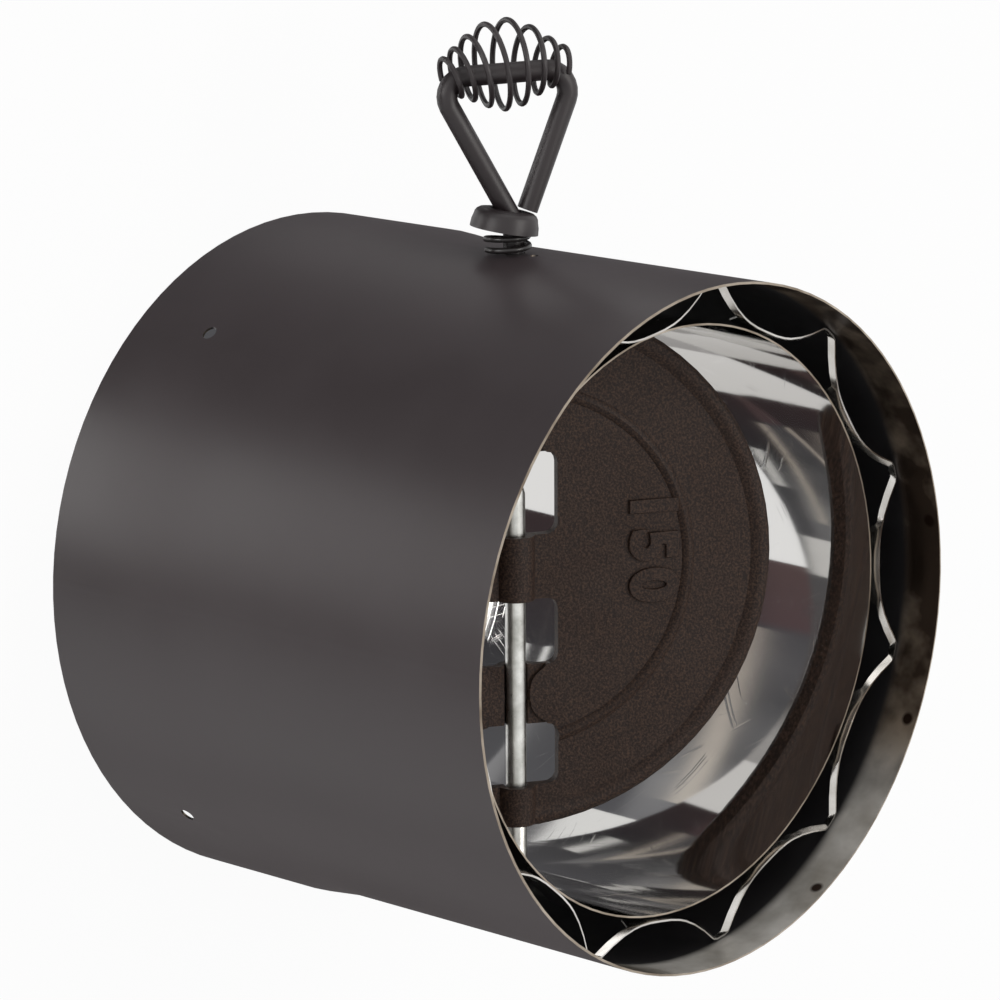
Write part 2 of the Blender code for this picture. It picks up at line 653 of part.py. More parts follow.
def build():
    clear_scene()
    black_paint = make_material("black_paint", (0.075, 0.07, 0.072), 0.45, 0.3)
    bright_steel = make_material("bright_steel", (0.72, 0.71, 0.69), 0.15, 1.0)
    strip_steel = make_material("strip_steel", (0.66, 0.65, 0.63), 0.3, 1.0)
    cast_iron = make_material("cast_iron", (0.05, 0.036, 0.028), 0.75, 0.4)
    zinc = make_material("zinc", (0.6, 0.6, 0.57), 0.3, 1.0)
    handle_black = make_material("handle_black", (0.06, 0.055, 0.055), 0.5, 0.3)
    spring_black = make_material("spring_black", (0.05, 0.045, 0.045), 0.45, 0.4)

    build_shell(black_paint)
    build_liner(bright_steel)
    build_standoff_ring("spacer_ring_front", SHELL_LENGTH - FRONT_RING_RECESS, -1.0, strip_steel)
    build_standoff_ring("spacer_ring_rear", REAR_RING_HEIGHT, 1.0, strip_steel)

    carrier = bpy.data.objects.new("rod_axis", None)
    bpy.context.scene.collection.objects.link(carrier)
    carrier.location = (0.0, 0.0, ROD_HEIGHT)
    carrier.rotation_euler = (-REST_ANGLE, 0.0, 0.0)
    build_plate(cast_iron, carrier)
    build_rod(zinc, carrier)
    wire("grip_coil", grip_points(), GRIP_WIRE_RADIUS, 8, handle_black, carrier)
    build_cup(handle_black, carrier)
    wire("tension_spring", spring_points(), SPRING_WIRE_RADIUS, 8, spring_black, carrier)


build()
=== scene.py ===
"""Double-wall stove pipe section with a damper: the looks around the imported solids.

The sections follow the object from the outside in, and then the handle. Lengths are in
metres. The pipe stands on its swelled end, and +X points from its axis to the handle.
"""
import math

import bmesh
import bpy
from mathutils import Matrix, Vector


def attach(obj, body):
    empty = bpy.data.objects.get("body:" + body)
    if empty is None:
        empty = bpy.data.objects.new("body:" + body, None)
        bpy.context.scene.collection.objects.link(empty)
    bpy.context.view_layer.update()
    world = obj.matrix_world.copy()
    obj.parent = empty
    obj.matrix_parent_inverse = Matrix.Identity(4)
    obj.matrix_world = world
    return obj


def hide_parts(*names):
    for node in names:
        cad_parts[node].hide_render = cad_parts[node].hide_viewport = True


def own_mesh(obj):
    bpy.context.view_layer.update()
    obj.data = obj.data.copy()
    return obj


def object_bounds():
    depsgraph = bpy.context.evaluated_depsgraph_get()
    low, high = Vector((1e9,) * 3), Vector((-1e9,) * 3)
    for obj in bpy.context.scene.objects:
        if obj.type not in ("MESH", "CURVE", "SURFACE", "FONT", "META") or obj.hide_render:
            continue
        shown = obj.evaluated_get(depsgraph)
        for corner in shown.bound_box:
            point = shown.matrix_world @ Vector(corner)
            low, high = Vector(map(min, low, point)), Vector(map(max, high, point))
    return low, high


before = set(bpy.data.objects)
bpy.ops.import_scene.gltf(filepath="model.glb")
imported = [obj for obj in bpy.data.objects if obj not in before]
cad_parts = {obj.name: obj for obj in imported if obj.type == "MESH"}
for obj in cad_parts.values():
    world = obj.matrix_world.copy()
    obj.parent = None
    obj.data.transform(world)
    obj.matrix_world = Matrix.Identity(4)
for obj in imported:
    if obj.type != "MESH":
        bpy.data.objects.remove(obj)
cad_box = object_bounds()


# Camera and studio
# A long lens looks down into the plain end of the pipe, with the handle upwards in the picture.
# White paper runs under the pipe, and soft boxes stand above, beside and behind the camera.
look = Vector((-0.21685, -0.70829, -0.67179)).normalized()
picture_up = Vector((0.97619, -0.16108, -0.14528))
picture_right = look.cross(picture_up).normalized()
picture_up = picture_right.cross(look)
eye = Vector((0.29776, 0.89911, 0.92794))
LENS_MM = 174.08
SENSOR_MM = 36.0
LAMP_AIM = Vector((0.0, 0.0, 0.08))

camera_data = bpy.data.cameras.new("camera")
camera_data.lens = LENS_MM
camera_data.sensor_width = SENSOR_MM
camera = bpy.data.objects.new("camera", camera_data)
bpy.context.scene.collection.objects.link(camera)
facing = Matrix((picture_right, picture_up, -look)).transposed().to_4x4()
camera.matrix_world = Matrix.Translation(eye) @ facing
bpy.context.scene.camera = camera
bpy.context.scene.view_settings.view_transform = "Standard"


def place(tree, kind, settings=None, **inputs):
    """Adds a node. An input is a number, a colour or another node's output.

    Inputs are given by name, or by place as i0, i1 and so on.
    """
    made = tree.nodes.new(kind)
    for name, value in (settings or {}).items():
        setattr(made, name, value)
    for name, value in inputs.items():
        by_place = name[0] == "i" and name[1:].isdigit()
        socket = made.inputs[int(name[1:]) if by_place else name.replace("_", " ")]
        if isinstance(value, bpy.types.NodeSocket):
            tree.links.new(value, socket)
        else:
            socket.default_value = value
    return made


def start_material(name, slot_colour):
    """A new material with its node tree and its shader."""
    material = bpy.data.materials.new(name)
    material.use_nodes = True
    material.diffuse_color = (*slot_colour, 1.0)
    return material, material.node_tree, material.node_tree.nodes["Principled BSDF"]


def add_lamp(name, right, up, back, size, watts, colour):
    """A soft box, placed from the pipe's middle in the picture's own directions."""
    data = bpy.data.lights.new(name, "AREA")
    data.shape = "RECTANGLE"
    data.size, data.size_y = size
    data.energy = watts
    data.color = colour
    lamp = bpy.data.objects.new(name, data)
    bpy.context.scene.collection.objects.link(lamp)
    lamp.location = LAMP_AIM + picture_right * right + picture_up * up - look * back
    lamp.rotation_mode = "QUATERNION"
    lamp.rotation_quaternion = (LAMP_AIM - lamp.location).to_track_quat("-Z", "Y")


add_lamp("top_box", 0.2, 1.3, 0.5, (0.9, 0.5), 1.6, (1.0, 0.98, 0.95))
add_lamp("right_box", 1.3, 0.2, 0.9, (0.5, 1.0), 8.0, (1.0, 0.97, 0.93))
add_lamp("left_box", -1.1, 0.3, 0.9, (0.5, 0.9), 10.0, (1.0, 0.98, 0.97))

world = bpy.data.worlds.new("studio")
bpy.context.scene.world = world
world.use_nodes = True
sky = world.node_tree
rays = place(sky, "ShaderNodeLightPath")
seen = place(sky, "ShaderNodeMath", {"operation": "MAXIMUM"},
             i0=rays.outputs["Is Camera Ray"], i1=rays.outputs["Is Glossy Ray"])
seen = place(sky, "ShaderNodeMath", {"operation": "MAXIMUM"},
             i0=seen.outputs[0], i1=rays.outputs["Is Transmission Ray"])
SKY_LIGHT = 0.5
SKY_SEEN = 1.0
strength = place(sky, "ShaderNodeMapRange", Value=seen.outputs[0], To_Min=SKY_LIGHT, To_Max=SKY_SEEN)
sky.links.new(strength.outputs[0], sky.nodes["Background"].inputs["Strength"])
sky.nodes["Background"].inputs["Color"].default_value = (1.0, 1.0, 1.0, 1.0)


# Bright sheet needs something to reflect. Plain round cards below the floor glow with their own light,
# and only reflections show them: their shades are painted reflections in the liner and the paint, and
# the bright panel paints the shell's broad highlight. Angles are in degrees round the pipe from +X,
# and heights are from its foot.
CARD_STEPS = 36
CARDS_FOOT = -2.4
CARDS_TOP = -0.3
GREY_START = -18.5
GREY_END = 105.0
GREY_FOOT = -0.917


def add_card(name, radius, first, last, low, high, stops):
    """A round card from one angle to another, glowing with its own light. Each stop is an angle and
    the shade there.
    """
    made = bmesh.new()
    rows = []
    for i in range(CARD_STEPS + 1):
        angle = math.radians(first + (last - first) * i / CARD_STEPS)
        spot = Vector((radius * math.cos(angle), radius * math.sin(angle), 0.0))
        rows.append([made.verts.new(spot + Vector((0.0, 0.0, height))) for height in (low, high)])
    for here, after in zip(rows, rows[1:]):
        made.faces.new((here[0], after[0], after[1], here[1]))
    data = bpy.data.meshes.new(name)
    made.to_mesh(data)
    made.free()
    card = bpy.data.objects.new(name, data)
    bpy.context.scene.collection.objects.link(card)
    card.visible_camera = False
    card.visible_diffuse = False
    card.visible_shadow = False
    glowing_card, tree, shader = start_material(name, stops[0][1:])
    glowing_card.cycles.emission_sampling = "NONE"
    data.materials.append(glowing_card)
    where = place(tree, "ShaderNodeTexCoord")
    around = place(tree, "ShaderNodeTexGradient", {"gradient_type": "RADIAL"},
                   Vector=where.outputs["Object"])
    shades = place(tree, "ShaderNodeValToRGB", Fac=around.outputs["Fac"])
    for i, (angle, *shade) in enumerate(stops):
        turn = (angle / 360.0 + 0.5) % 1.0
        stop = shades.color_ramp.elements[i] if i < 2 else shades.color_ramp.elements.new(turn)
        stop.position = turn
        stop.color = (*shade, 1.0)
    glow = place(tree, "ShaderNodeEmission", Color=shades.outputs["Color"])
    tree.links.new(glow.outputs[0], tree.nodes["Material Output"].inputs["Surface"])
    return glow


add_card("dark_card", 1.24, -205.0, -12.0, CARDS_FOOT, CARDS_TOP,
         [(-150.0, 0.14, 0.13, 0.13), (179.0, 0.55, 0.54, 0.54), (-176.0, 0.5, 0.49, 0.49),
          (-14.0, 0.14, 0.14, 0.15)])
add_card("white_card", 1.22, -48.0, GREY_START, -1.005, -0.6,
         [(-48.0, 0.9, 0.9, 0.89), (-19.0, 0.9, 0.9, 0.89)])
add_card("grey_card", 1.2, GREY_START, GREY_END, GREY_FOOT, CARDS_TOP,
         [(-18.0, 0.30, 0.30, 0.31), (77.0, 0.085, 0.083, 0.09), (7.0, 0.22, 0.22, 0.23),
          (21.0, 0.125, 0.125, 0.132), (36.0, 0.135, 0.135, 0.142), (49.0, 0.09, 0.09, 0.096),
          (63.0, 0.107, 0.105, 0.112), (80.0, 0.10, 0.068, 0.072), (104.0, 0.11, 0.075, 0.075)])
add_card("low_card", 1.2, GREY_START, GREY_END, CARDS_FOOT, GREY_FOOT,
         [(-18.0, 0.11, 0.11, 0.12), (104.0, 0.05, 0.036, 0.038), (5.0, 0.10, 0.10, 0.108),
          (24.0, 0.085, 0.085, 0.092), (38.0, 0.055, 0.055, 0.06), (61.0, 0.045, 0.04, 0.044)])
add_card("pale_strip", 1.195, GREY_START, 40.0, -0.947, GREY_FOOT,
         [(-18.0, 0.22, 0.22, 0.23), (39.0, 0.13, 0.13, 0.138), (4.0, 0.28, 0.28, 0.29),
          (20.0, 0.20, 0.20, 0.208)])
add_card("pale_low_strip", 1.195, GREY_START, 20.0, -1.14, -1.035,
         [(-18.0, 0.30, 0.30, 0.31), (19.0, 0.30, 0.30, 0.31)])
add_card("white_strip", 1.195, 20.0, 50.0, -1.0, -0.972,
         [(20.0, 0.9, 0.9, 0.89), (50.0, 0.9, 0.9, 0.89)])
add_card("tan_strip", 1.19, -5.0, 77.0, -0.92, -0.903,
         [(-5.0, 0.68, 0.63, 0.56), (77.0, 0.50, 0.44, 0.39)])
# Painted highlight: this panel glows at six times the strength, and the black paint shows it as a
# broad highlight.
bright = add_card("bright_panel", 1.18, 46.0, 92.0, -1.75, -1.105,
                  [(45.0, 1.0, 0.99, 0.98), (92.0, 0.6, 0.59, 0.58), (82.0, 1.0, 0.99, 0.98)])
PANEL_STRENGTH = 6.0
bright.inputs["Strength"].default_value = PANEL_STRENGTH

FLOOR_DROP = 0.0002
FLOOR_HALF_WIDTH = 6.0
PAPER_GLOW = 0.95
floor_mesh = bmesh.new()
bmesh.ops.create_grid(floor_mesh, x_segments=1, y_segments=1, size=FLOOR_HALF_WIDTH)
floor_data = bpy.data.meshes.new("floor")
floor_mesh.to_mesh(floor_data)
floor_mesh.free()
floor = bpy.data.objects.new("floor", floor_data)
bpy.context.scene.collection.objects.link(floor)
floor.location.z = cad_box[0].z - FLOOR_DROP
floor.visible_glossy = False
paper, tree, shader = start_material("white_paper", (0.9, 0.9, 0.9))
shader.inputs["Base Color"].default_value = (0.86, 0.86, 0.86, 1.0)
shader.inputs["Roughness"].default_value = 0.9
shader.inputs["Specular IOR Level"].default_value = 0.1
rays = place(tree, "ShaderNodeLightPath")
seen = place(tree, "ShaderNodeMath", {"operation": "MAXIMUM"},
             i0=rays.outputs["Is Camera Ray"], i1=rays.outputs["Is Glossy Ray"])
share = place(tree, "ShaderNodeMath", {"operation": "MULTIPLY"}, i0=seen.outputs[0], i1=PAPER_GLOW)
glow = place(tree, "ShaderNodeEmission", Color=(1.0, 1.0, 1.0, 1.0), Strength=1.0)
blend = place(tree, "ShaderNodeMixShader", Fac=share.outputs[0], i1=shader.outputs[0],
              i2=glow.outputs[0])
tree.links.new(blend.outputs[0], tree.nodes["Material Output"].inputs["Surface"])
floor_data.materials.append(paper)


# Outer shell
# Cold-rolled sheet, rolled and seam-welded into a tube, with one end swelled over a die.
# Satin black paint outside, bare steel inside, and a cut edge that shows the sheet.
WELD_REACH = 0.000002
EVEN_WEIGHT = 80


def smooth_faces(obj, crease=35.0):
    """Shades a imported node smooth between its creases. Its points stay where they are."""
    if "custom_normal" in obj.data.attributes:
        obj.data.attributes.remove(obj.data.attributes["custom_normal"])
    obj.data.shade_smooth()
    weld = obj.modifiers.new("weld", "WELD")
    weld.merge_threshold = WELD_REACH
    split = obj.modifiers.new("crease", "EDGE_SPLIT")
    split.split_angle = math.radians(crease)
    even = obj.modifiers.new("even", "WEIGHTED_NORMAL")
    even.weight = EVEN_WEIGHT


def sort_faces(obj, materials, choose):
    """Gives each face one of the materials, by its middle and its direction."""
    obj.data.materials.clear()
    for material in materials:
        obj.data.materials.append(material)
    for face in obj.data.polygons:
        face.material_index = choose(face.center, face.normal)


def start_group(name, inputs, outputs):
    """Starts a shader node group with named sockets."""
    group = bpy.data.node_groups.new(name, "ShaderNodeTree")
    for label, value in inputs:
        socket = group.interface.new_socket(label, in_out="INPUT", socket_type="NodeSocketFloat")
        socket.default_value = value
    for label in outputs:
        group.interface.new_socket(label, in_out="OUTPUT", socket_type="NodeSocketFloat")
    return group, group.nodes.new("NodeGroupInput"), group.nodes.new("NodeGroupOutput")


def place_group(tree, group, **inputs):
    """Adds a node group with its own values."""
    made = tree.nodes.new("ShaderNodeGroup")
    made.node_tree = group
    for name, value in inputs.items():
        made.inputs[name.replace("_", " ")].default_value = value
    return made


uneven, enter, leave = start_group("uneven", [("Size", 0.05), ("Grain", 0.001)],
                                   ["Patches", "Grain"])
spot = place(uneven, "ShaderNodeTexCoord")
size = place(uneven, "ShaderNodeMath", {"operation": "DIVIDE"}, i0=1.0, i1=enter.outputs["Size"])
patches = place(uneven, "ShaderNodeTexNoise", Vector=spot.outputs["Object"], Scale=size.outputs[0],
                Detail=4.0, Roughness=0.55)
patch_range = place(uneven, "ShaderNodeMapRange", Value=patches.outputs["Fac"], From_Min=0.3,
                    From_Max=0.7)
fine = place(uneven, "ShaderNodeMath", {"operation": "DIVIDE"}, i0=1.0, i1=enter.outputs["Grain"])
grain = place(uneven, "ShaderNodeTexNoise", Vector=spot.outputs["Object"], Scale=fine.outputs[0],
              Detail=3.0, Roughness=0.6)
uneven.links.new(patch_range.outputs[0], leave.inputs["Patches"])
uneven.links.new(grain.outputs["Fac"], leave.inputs["Grain"])


def mixed_colour(tree, share, low, high):
    """A colour between two, by a mask. Either may be another node's colour."""
    ends = [end if isinstance(end, bpy.types.NodeSocket) else (*end, 1.0) for end in (low, high)]
    made = place(tree, "ShaderNodeMix", {"data_type": "RGBA"}, i0=share, i6=ends[0], i7=ends[1])
    return made.outputs[2]


def set_roughness(tree, shader, share, low, high):
    """Roughness between two values, by a mask."""
    gloss = place(tree, "ShaderNodeMapRange", Value=share, To_Min=low, To_Max=high)
    tree.links.new(gloss.outputs[0], shader.inputs["Roughness"])


def set_bump(tree, shader, height, strength, distance):
    """Relief from a height, over a distance in metres."""
    bump = place(tree, "ShaderNodeBump", Height=height, Strength=strength, Distance=distance)
    tree.links.new(bump.outputs[0], shader.inputs["Normal"])


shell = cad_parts["outer_shell"]
SEAM_ANGLE = math.radians(87.0)
SEAM_CORE = 0.0004
SEAM_EDGE = 0.0012

paint, tree, shader = start_material("satin_black_paint", (0.075, 0.07, 0.072))
mask = place_group(tree, uneven, Size=0.045, Grain=0.0006)
colour = mixed_colour(tree, mask.outputs["Patches"], (0.038, 0.029, 0.031), (0.047, 0.037, 0.0395))
tree.links.new(colour, shader.inputs["Base Color"])
set_roughness(tree, shader, mask.outputs["Patches"], 0.36, 0.44)
where = place(tree, "ShaderNodeTexCoord")
turned = place(tree, "ShaderNodeMapping", {"vector_type": "POINT"}, Vector=where.outputs["Object"],
               Rotation=(0.0, 0.0, -SEAM_ANGLE))
apart = place(tree, "ShaderNodeSeparateXYZ", Vector=turned.outputs[0])
seam_off = place(tree, "ShaderNodeMath", {"operation": "ABSOLUTE"}, i0=apart.outputs["Y"])
seam = place(tree, "ShaderNodeMapRange", {"interpolation_type": "SMOOTHSTEP"},
             Value=seam_off.outputs[0], From_Min=SEAM_CORE, From_Max=SEAM_EDGE, To_Min=1.0, To_Max=0.0)
ahead = place(tree, "ShaderNodeMath", {"operation": "GREATER_THAN"}, i0=apart.outputs["X"], i1=0.0)
seam_line = place(tree, "ShaderNodeMath", {"operation": "MULTIPLY"}, i0=seam.outputs[0],
                  i1=ahead.outputs[0])
heights = place(tree, "ShaderNodeMath", {"operation": "MULTIPLY_ADD"}, i0=mask.outputs["Grain"],
                i1=0.25, i2=seam_line.outputs[0])
set_bump(tree, shader, heights.outputs[0], 0.12, 0.0002)

# Bare steel near the rim is brown with rubbed patches, and on the side away from the handle it is
# painted near-white silver as a painted highlight. Deeper in, it is painted near-black as painted
# shade, for the dark gap. Three old screw marks have rusted.
MARK_ANGLES = (-81.2, -116.4, -151.7)
MARK_RADIUS = 0.0883
MARK_HEIGHT = 0.1494
MARK_CORE = 0.0012
MARK_EDGE = 0.0021
DEEP_SHADE_TOP = 0.1395
SHADE_FADE_TOP = 0.1435
HIGHLIGHT_SIDE_WAY = (-0.951, -0.309, 0.0)
HIGHLIGHT_SIDE_START = 0.062
HIGHLIGHT_SIDE_FULL = 0.080

bare, tree, shader = start_material("bare_steel", (0.5, 0.46, 0.42))
mask = place_group(tree, uneven, Size=0.02, Grain=0.0008)
where = place(tree, "ShaderNodeTexCoord")
# Painted highlight: on the side away from the handle the rim band fades to near-white silver, with
# less metal.
low_side = place(tree, "ShaderNodeVectorMath", {"operation": "DOT_PRODUCT"},
                 i0=where.outputs["Object"], i1=HIGHLIGHT_SIDE_WAY)
painted_highlight_side = place(tree, "ShaderNodeMapRange", {"interpolation_type": "SMOOTHSTEP"},
              Value=low_side.outputs["Value"], From_Min=HIGHLIGHT_SIDE_START, From_Max=HIGHLIGHT_SIDE_FULL)
rubs = place(tree, "ShaderNodeMapRange", Value=mask.outputs["Patches"], From_Min=0.45)
browned = mixed_colour(tree, rubs.outputs[0], (0.085, 0.06, 0.045), (0.42, 0.34, 0.26))
highlight_silver = mixed_colour(tree, mask.outputs["Patches"], (0.40, 0.37, 0.32), (0.94, 0.92, 0.88))
sheet = mixed_colour(tree, painted_highlight_side.outputs[0], browned, highlight_silver)
marks = None
for angle in MARK_ANGLES:
    turn = math.radians(angle)
    centre = (MARK_RADIUS * math.cos(turn), MARK_RADIUS * math.sin(turn), MARK_HEIGHT)
    away = place(tree, "ShaderNodeVectorMath", {"operation": "DISTANCE"}, i0=where.outputs["Object"],
                 i1=centre)
    mark = place(tree, "ShaderNodeMapRange", Value=away.outputs["Value"], From_Min=MARK_CORE,
                 From_Max=MARK_EDGE, To_Min=1.0, To_Max=0.0)
    if marks is not None:
        mark = place(tree, "ShaderNodeMath", {"operation": "MAXIMUM"}, i0=mark.outputs[0],
                     i1=marks.outputs[0])
    marks = mark
stained = mixed_colour(tree, marks.outputs[0], sheet, (0.035, 0.02, 0.014))
# Painted shade: below the rim band the sheet turns near-black and not metallic, standing for the dark
# gap between the walls.
apart = place(tree, "ShaderNodeSeparateXYZ", Vector=where.outputs["Object"])
out_of_painted_shade = place(tree, "ShaderNodeMapRange", {"interpolation_type": "SMOOTHSTEP"},
               Value=apart.outputs["Z"], From_Min=DEEP_SHADE_TOP, From_Max=SHADE_FADE_TOP)
inside = mixed_colour(tree, out_of_painted_shade.outputs[0], (0.012, 0.011, 0.012), stained)
tree.links.new(inside, shader.inputs["Base Color"])
highlight_metal_cut = place(tree, "ShaderNodeMath", {"operation": "MULTIPLY_ADD"}, i0=painted_highlight_side.outputs[0], i1=-0.5,
              i2=1.0)
metal = place(tree, "ShaderNodeMath", {"operation": "MULTIPLY"}, i0=out_of_painted_shade.outputs[0],
              i1=highlight_metal_cut.outputs[0])
tree.links.new(metal.outputs[0], shader.inputs["Metallic"])
set_roughness(tree, shader, mask.outputs["Patches"], 0.34, 0.48)

cut_edge, tree, shader = start_material("cut_sheet_edge", (0.5, 0.46, 0.4))
mask = place_group(tree, uneven, Size=0.01, Grain=0.0008)
colour = mixed_colour(tree, mask.outputs["Patches"], (0.20, 0.16, 0.12), (0.46, 0.40, 0.33))
tree.links.new(colour, shader.inputs["Base Color"])
shader.inputs["Metallic"].default_value = 1.0
shader.inputs["Roughness"].default_value = 0.35


def shell_side(middle, facing):
    """Paint outside, bare steel inside and the cut edge on the rims."""
    if abs(facing.z) > 0.5:
        return 2
    radial = Vector((middle.x, middle.y, 0.0)).normalized()
    return 0 if facing.dot(radial) > 0.5 else 1


sort_faces(shell, (paint, bare, cut_edge), shell_side)
smooth_faces(shell)


# Inner liner
# Bright annealed stainless sheet, rolled and welded, with its lower end drawn in.
# Handling leaves fine scratches in every direction and rubbed patches.
SCRATCH_WAYS = (((0.3, 0.5, 0.8), 55.0), ((0.7, -0.2, -0.6), 48.0), ((-0.5, 0.8, 0.35), 60.0),
                ((0.1, 0.9, -0.5), 42.0), ((0.9, 0.1, 0.45), 70.0))
SCRATCH_WIDTH = 0.004
scratches, enter, leave = start_group("scratches", [("Amount", 0.5)], ["Lines"])
spot = place(scratches, "ShaderNodeTexCoord")
lines = None
for across, spread in SCRATCH_WAYS:
    aim = place(scratches, "ShaderNodeVectorMath", {"operation": "DOT_PRODUCT"},
                i0=spot.outputs["Object"], i1=across)
    field = place(scratches, "ShaderNodeTexNoise", {"noise_dimensions": "1D"}, W=aim.outputs["Value"],
                  Scale=spread * 3.0, Detail=1.0)
    near = place(scratches, "ShaderNodeMath", {"operation": "SUBTRACT"}, i0=field.outputs["Fac"],
                 i1=0.5)
    near = place(scratches, "ShaderNodeMath", {"operation": "ABSOLUTE"}, i0=near.outputs[0])
    line = place(scratches, "ShaderNodeMapRange", Value=near.outputs[0], From_Min=0.0,
                 From_Max=SCRATCH_WIDTH, To_Min=1.0, To_Max=0.0)
    places = place(scratches, "ShaderNodeTexNoise", {"noise_dimensions": "4D"},
                   Vector=spot.outputs["Object"], W=spread, Scale=spread, Detail=1.0)
    kept = place(scratches, "ShaderNodeMapRange", Value=places.outputs["Fac"], From_Min=0.62,
                 From_Max=0.70)
    line = place(scratches, "ShaderNodeMath", {"operation": "MULTIPLY"}, i0=line.outputs[0],
                 i1=kept.outputs[0])
    if lines is not None:
        line = place(scratches, "ShaderNodeMath", {"operation": "MAXIMUM"}, i0=line.outputs[0],
                     i1=lines.outputs[0])
    lines = line
total = place(scratches, "ShaderNodeMath", {"operation": "MULTIPLY"}, i0=lines.outputs[0],
              i1=enter.outputs["Amount"])
scratches.links.new(total.outputs[0], leave.inputs["Lines"])

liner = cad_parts["inner_liner"]
mirror, tree, shader = start_material("mirror_stainless", (0.72, 0.71, 0.69))
mask = place_group(tree, uneven, Size=0.05, Grain=0.0012)
worn = place_group(tree, scratches, Amount=0.28)
colour = mixed_colour(tree, worn.outputs["Lines"], (0.70, 0.69, 0.675), (0.86, 0.85, 0.83))
tree.links.new(colour, shader.inputs["Base Color"])
shader.inputs["Metallic"].default_value = 1.0
base_gloss = place(tree, "ShaderNodeMapRange", Value=mask.outputs["Patches"], To_Min=0.03,
                   To_Max=0.06)
gloss = place(tree, "ShaderNodeMath", {"operation": "MULTIPLY_ADD"}, i0=worn.outputs["Lines"], i1=0.3,
              i2=base_gloss.outputs[0])
tree.links.new(gloss.outputs[0], shader.inputs["Roughness"])
set_bump(tree, shader, worn.outputs["Lines"], 0.25, 0.00005)
sort_faces(liner, (mirror, cut_edge), lambda middle, facing: 1 if abs(facing.z) > 0.9 else 0)
smooth_faces(liner)


# Spacer rings
# Two strips of thin stainless, bent into V-shaped standoffs and spot-welded to the liner.
# The strip is bright stainless in lighter and darker patches, and its faces are as rolled.
strip, tree, shader = start_material("stainless_strip", (0.66, 0.65, 0.63))
mask = place_group(tree, uneven, Size=0.012, Grain=0.0006)
colour = mixed_colour(tree, mask.outputs["Patches"], (0.42, 0.40, 0.37), (0.74, 0.72, 0.69))
tree.links.new(colour, shader.inputs["Base Color"])
shader.inputs["Metallic"].default_value = 1.0
set_roughness(tree, shader, mask.outputs["Patches"], 0.16, 0.3)


def cover(obj, material, crease):
    """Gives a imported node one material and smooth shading."""
    obj.data.materials.clear()
    obj.data.materials.append(material)
    smooth_faces(obj, crease)


for name in ("spacer_ring_front", "spacer_ring_rear"):
    cover(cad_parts[name], strip, 50.0)


# Damper plate
# Grey iron cast in sand, with a raised rim and ring, bridges over the rod and four openings.
# The skin is brown-black from the foundry, rough all over, with a fine grain of darker and lighter
# specks.
ROD_HEIGHT = 0.0805
REST_TURN = math.radians(-29.5)
rod_place = Matrix.Translation((0.0, 0.0, ROD_HEIGHT)) @ Matrix.Rotation(REST_TURN, 4, "X")

iron, tree, shader = start_material("cast_iron_skin", (0.05, 0.036, 0.028))
mask = place_group(tree, uneven, Size=0.018, Grain=0.0006)
grains = place(tree, "ShaderNodeMapRange", Value=mask.outputs["Grain"], From_Min=0.42, From_Max=0.72)
colour = mixed_colour(tree, grains.outputs[0], (0.015, 0.0082, 0.0064), (0.076, 0.044, 0.030))
tree.links.new(colour, shader.inputs["Base Color"])
shader.inputs["Specular IOR Level"].default_value = 0.22
set_roughness(tree, shader, mask.outputs["Patches"], 0.5, 0.62)
set_bump(tree, shader, mask.outputs["Grain"], 0.45, 0.0003)
cover(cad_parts["damper_plate"], iron, 30.0)

# The pattern had a number let into it: the pipe's bore in millimetres, raised on the casting.
NUMBER_HEIGHT = 0.0172
NUMBER_RISE = 0.0005
NUMBER_SWELL = 0.0007
NUMBER_ROUND = 0.0003
NUMBER_PLACE = (0.0088, -0.0371, 0.0016)
size_data = bpy.data.curves.new("cast_size", "FONT")
size_data.body = "150"
size_data.size = NUMBER_HEIGHT
size_data.space_character = 1.25
size_data.align_x = "CENTER"
size_data.align_y = "CENTER"
size_data.offset = NUMBER_SWELL
size_data.extrude = NUMBER_RISE
size_data.bevel_depth = NUMBER_ROUND
size_data.bevel_resolution = 2
cast_size = bpy.data.objects.new("cast_size", size_data)
bpy.context.scene.collection.objects.link(cast_size)
size_data.materials.append(iron)
half_turn = Matrix.Rotation(math.pi, 4, "Z")
cast_size.matrix_world = rod_place @ Matrix.Translation(NUMBER_PLACE) @ half_turn
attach(cast_size, "damper")


# Damper rod
# One steel rod: zinc-plated and drawn bright inside the pipe, painted black where it is the handle.
# The paint starts at the shell. The long faces that cross it change over in their own material.
PAINT_START = 0.0893
FADE_START = 0.0875
FADE_END = 0.0885
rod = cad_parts["damper_rod"]

plated, tree, shader = start_material("zinc_plating", (0.6, 0.6, 0.57))
mask = place_group(tree, uneven, Size=0.006, Grain=0.0005)
colour = mixed_colour(tree, mask.outputs["Patches"], (0.42, 0.42, 0.39), (0.82, 0.82, 0.79))
where = place(tree, "ShaderNodeTexCoord")
apart = place(tree, "ShaderNodeSeparateXYZ", Vector=where.outputs["Object"])
unpainted = place(tree, "ShaderNodeMapRange", Value=apart.outputs["X"], From_Min=FADE_START,
                  From_Max=FADE_END, To_Min=1.0, To_Max=0.0)
colour = mixed_colour(tree, unpainted.outputs[0], (0.02, 0.016, 0.017), colour)
tree.links.new(colour, shader.inputs["Base Color"])
tree.links.new(unpainted.outputs[0], shader.inputs["Metallic"])
set_roughness(tree, shader, mask.outputs["Grain"], 0.2, 0.42)
set_bump(tree, shader, mask.outputs["Grain"], 0.2, 0.0001)

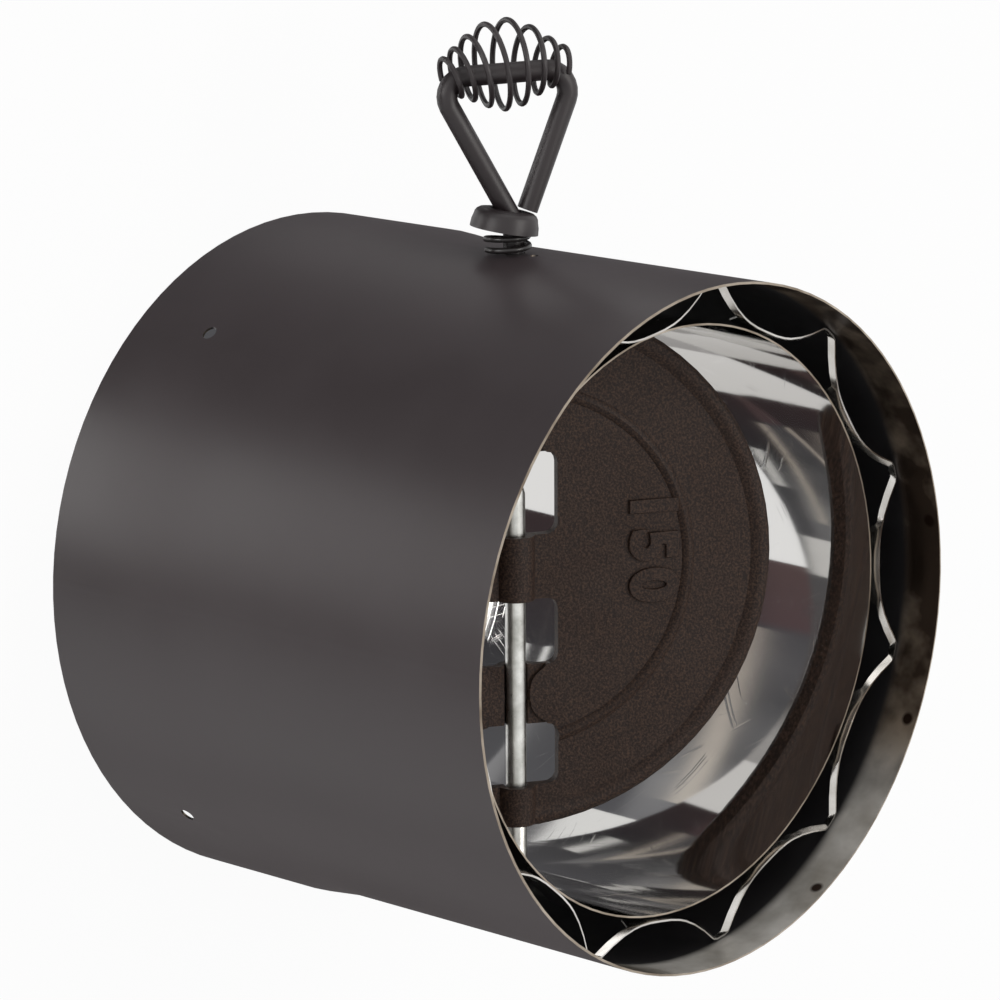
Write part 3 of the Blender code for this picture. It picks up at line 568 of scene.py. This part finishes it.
handle_paint, tree, shader = start_material("handle_paint", (0.06, 0.055, 0.055))
mask = place_group(tree, uneven, Size=0.012, Grain=0.0005)
colour = mixed_colour(tree, mask.outputs["Patches"], (0.0155, 0.0108, 0.0118), (0.0255, 0.0185, 0.020))
tree.links.new(colour, shader.inputs["Base Color"])
set_roughness(tree, shader, mask.outputs["Patches"], 0.38, 0.5)
set_bump(tree, shader, mask.outputs["Grain"], 0.25, 0.0001)

sort_faces(rod, (plated, handle_paint), lambda middle, facing: 1 if middle.x > PAINT_START else 0)
smooth_faces(rod, 40.0)


# Grip and cup
# A wire coil wound round the handle's bar stays cool to the hand. A cup pressed from sheet sits on
# the spring and is painted with the handle.
cover(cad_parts["grip_coil"], handle_paint, 40.0)
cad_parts["grip_coil"].modifiers.new("round", "SUBSURF")
cover(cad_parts["spring_cup"], handle_paint, 40.0)


# Spring
# Oiled black spring wire: two open turns that draw together, and a closed end turn under the cup.
# It is wound again with finer points.
WIRE_RADIUS = 0.0008
COIL_RADIUS = 0.00555
COIL_FOOT = Vector((0.09, 0.0016))
COIL_TOP = Vector((0.09795, 0.00206))
OPEN_TURNS = 2.0
OPEN_SHARE = 0.73
OPEN_SPREAD = 1.2
END_TURNS = 0.9
TURN_STEPS = 48
COIL_STEPS = 140
REST_LEAN = math.radians(10.0)

oiled, tree, shader = start_material("black_spring_steel", (0.05, 0.045, 0.045))
mask = place_group(tree, uneven, Size=0.006, Grain=0.0005)
colour = mixed_colour(tree, mask.outputs["Patches"], (0.014, 0.012, 0.012), (0.028, 0.025, 0.025))
tree.links.new(colour, shader.inputs["Base Color"])
set_roughness(tree, shader, mask.outputs["Patches"], 0.24, 0.36)

coil_points = []
for i in range(COIL_STEPS):
    turn = i / TURN_STEPS
    if turn < OPEN_TURNS:
        share = OPEN_SHARE * (turn / OPEN_TURNS) ** OPEN_SPREAD
    else:
        share = OPEN_SHARE + (1.0 - OPEN_SHARE) * (turn - OPEN_TURNS) / END_TURNS
    centre = COIL_FOOT.lerp(COIL_TOP, share)
    side = Vector((math.sin(REST_LEAN * share), math.cos(REST_LEAN * share), 0.0))
    phase = 2.0 * math.pi * turn
    reach = side * math.cos(phase) + Vector((0.0, 0.0, 1.0)) * math.sin(phase)
    coil_points.append(Vector((centre.x, centre.y, 0.0)) + reach * COIL_RADIUS)
wound = bpy.data.curves.new("wound_spring", "CURVE")
wound.dimensions = "3D"
wound.bevel_depth = WIRE_RADIUS
wound.bevel_resolution = 4
wound.use_fill_caps = True
line = wound.splines.new("POLY")
line.points.add(len(coil_points) - 1)
for i, point in enumerate(coil_points):
    line.points[i].co = (*point, 1.0)
line.use_smooth = True
pattern = bpy.data.objects.new("wound_pattern", wound)
bpy.context.scene.collection.objects.link(pattern)
finished = pattern.evaluated_get(bpy.context.evaluated_depsgraph_get())
spring_data = bpy.data.meshes.new_from_object(finished)
bpy.data.objects.remove(pattern)
spring_data.transform(rod_place)
spring_data.shade_smooth()
spring_data.materials.clear()
spring_data.materials.append(oiled)
spring = bpy.data.objects.new("wound_spring", spring_data)
bpy.context.scene.collection.objects.link(spring)
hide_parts("tension_spring")
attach(spring, "spring")
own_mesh(spring)
